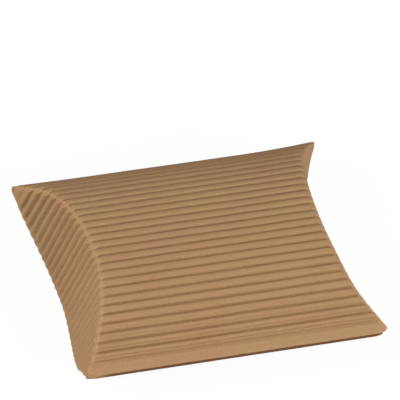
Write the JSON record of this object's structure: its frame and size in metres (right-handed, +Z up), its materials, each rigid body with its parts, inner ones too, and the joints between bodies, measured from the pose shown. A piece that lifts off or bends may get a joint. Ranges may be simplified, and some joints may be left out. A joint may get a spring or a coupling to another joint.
{
  "type": "pillow box",
  "caption": "Pillow-shaped favor box folded from fluted kraft board, with curved end creases and tuck-in end flaps.",
  "frame": {"origin": "on the surface that the box lies on, below the middle of the box", "axes": "+X along the flutes from the left end to the right end, +Y to the back fold, +Z up"},
  "size_m": [0.1148, 0.0858, 0.0318],
  "materials": {
    "kraft_medium": "matte fluted kraft paper",
    "kraft_liner": "matte smooth kraft paper",
    "glue": "dried adhesive"
  },
  "bodies": {
    "box_shell": {"top_panel_liner": "kraft_liner", "top_panel_flutes": "kraft_medium", "bottom_panel_liner": "kraft_liner", "bottom_panel_flutes": "kraft_medium", "back_fold": "kraft_medium", "front_fold": "kraft_medium", "glue_tab_liner": "kraft_liner", "glue_tab_flutes": "kraft_medium", "glue_line": "glue"},
    "left_outer_flap": {"left_outer_flap_liner": "kraft_liner", "left_outer_flap_flutes": "kraft_medium"},
    "left_inner_flap": {"left_inner_flap_liner": "kraft_liner", "left_inner_flap_flutes": "kraft_medium"},
    "right_outer_flap": {"right_outer_flap_liner": "kraft_liner", "right_outer_flap_flutes": "kraft_medium"},
    "right_inner_flap": {"right_inner_flap_liner": "kraft_liner", "right_inner_flap_flutes": "kraft_medium"}
  },
  "joints": [
    {"name": "left_outer_flap_hinge", "type": "hinge", "parent": "box_shell", "child": "left_outer_flap", "pos_m": [-0.0419, 0, 0.03058], "axis": [0, 1, 0], "range_deg": [0, 80]},
    {"name": "left_inner_flap_hinge", "type": "hinge", "parent": "box_shell", "child": "left_inner_flap", "pos_m": [-0.0419, 0, 0.00122], "axis": [0, -1, 0], "range_deg": [0, 95]},
    {"name": "right_outer_flap_hinge", "type": "hinge", "parent": "box_shell", "child": "right_outer_flap", "pos_m": [0.0419, 0, 0.03058], "axis": [0, -1, 0], "range_deg": [0, 80]},
    {"name": "right_inner_flap_hinge", "type": "hinge", "parent": "box_shell", "child": "right_inner_flap", "pos_m": [0.0419, 0, 0.00122], "axis": [0, 1, 0], "range_deg": [0, 95]}
  ],
  "couplings": [
    {"joint": "left_inner_flap_hinge", "follows": "left_outer_flap_hinge", "ratio": 1.1875},
    {"joint": "right_inner_flap_hinge", "follows": "right_outer_flap_hinge", "ratio": 1.1875}
  ]
}
